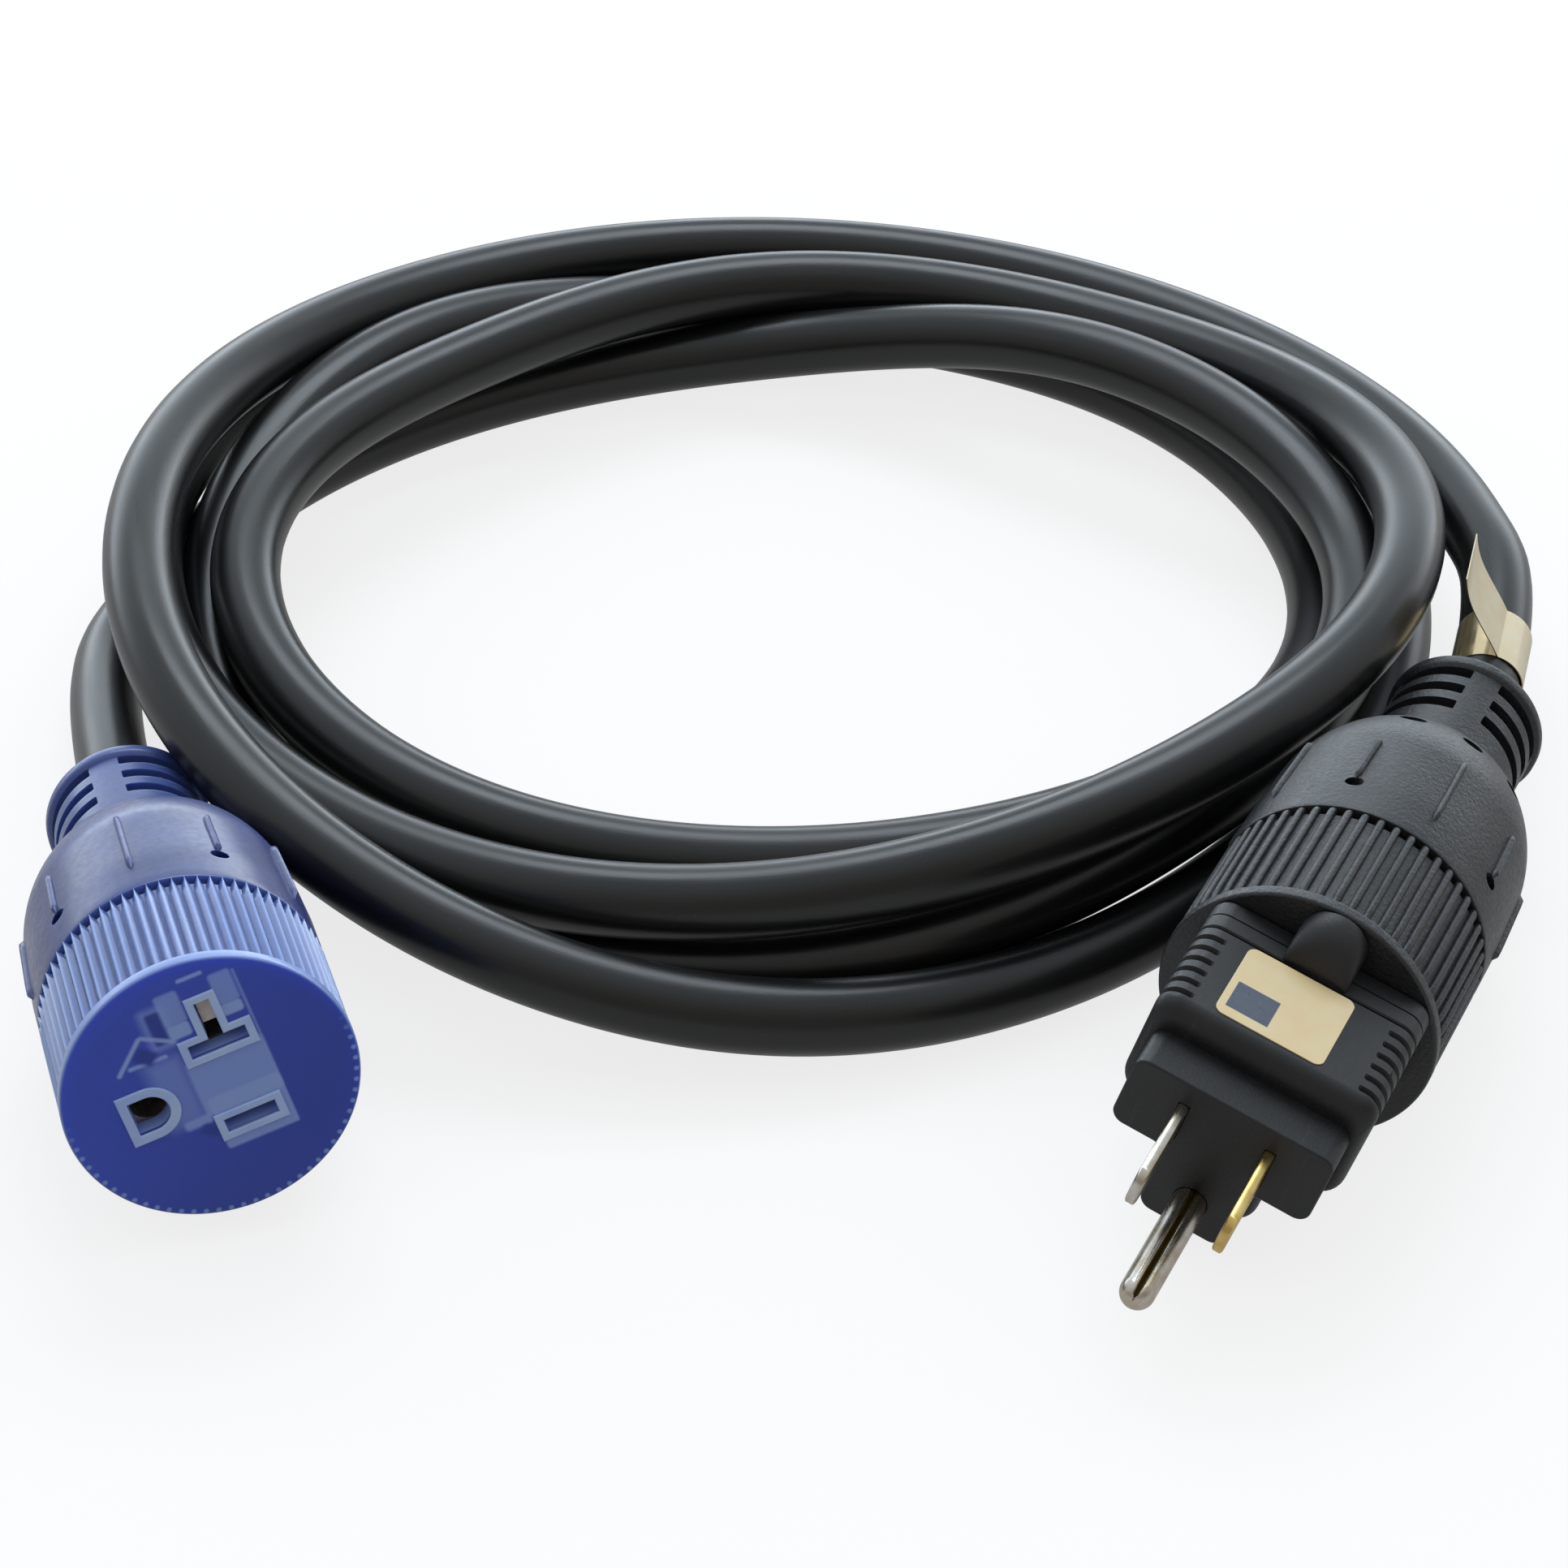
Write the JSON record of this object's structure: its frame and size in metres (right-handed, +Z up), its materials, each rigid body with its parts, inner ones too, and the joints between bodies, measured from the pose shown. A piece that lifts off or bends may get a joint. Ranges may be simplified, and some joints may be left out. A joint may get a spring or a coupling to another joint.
{
  "type": "power cord",
  "caption": "Coiled three-wire power cord with a moulded socket end, a moulded plug and a pull-off plug adapter.",
  "frame": {"origin": "on the floor, under the middle of the connector, plug and adapter taken together", "axes": "+X to the right as seen from the side that the sockets and blades face, +Y away from that viewer towards the coil, +Z up"},
  "size_m": [0.2285, 0.282, 0.0444],
  "materials": {
    "blue_pvc": "semi-gloss moulded PVC, slightly see-through",
    "black_pvc": "fine matt moulded PVC",
    "adapter_plastic": "fine matt hard plastic",
    "cord_jacket": "smooth satin jacket",
    "inner_plastic": "plain moulded",
    "contact_brass": "stamped, worn bright",
    "nickel_blade": "nickel plated, lightly scratched",
    "wire_black": "plain insulation",
    "wire_white": "plain insulation",
    "wire_green": "plain insulation",
    "label_foil": "glossy pale gold film"
  },
  "bodies": {
    "root": {"connector_shell": "blue_pvc", "connector_contact_block": "inner_plastic", "connector_hot_contact": "contact_brass", "connector_neutral_contact": "contact_brass", "connector_ground_contact": "contact_brass", "connector_hot_wire": "wire_black", "connector_neutral_wire": "wire_white", "connector_ground_wire": "wire_green", "plug_shell": "black_pvc", "plug_blade_block": "inner_plastic", "plug_hot_blade": "nickel_blade", "plug_neutral_blade": "nickel_blade", "plug_ground_pin": "nickel_blade", "plug_hot_wire": "wire_black", "plug_neutral_wire": "wire_white", "plug_ground_wire": "wire_green", "cord_coil": "cord_jacket", "connector_lead": "cord_jacket", "plug_lead": "cord_jacket", "cord_tag": "label_foil"},
    "adapter": {"adapter_front_body": "adapter_plastic", "adapter_rear_cover": "adapter_plastic", "adapter_hot_contact": "nickel_blade", "adapter_neutral_contact": "contact_brass", "adapter_ground_contact": "nickel_blade", "adapter_label": "label_foil"}
  },
  "joints": [
    {"name": "adapter_pull", "type": "slide", "parent": "root", "child": "adapter", "axis": [-0.4242, -0.9055, 0.0087], "range_m": [0, 0.03]}
  ]
}
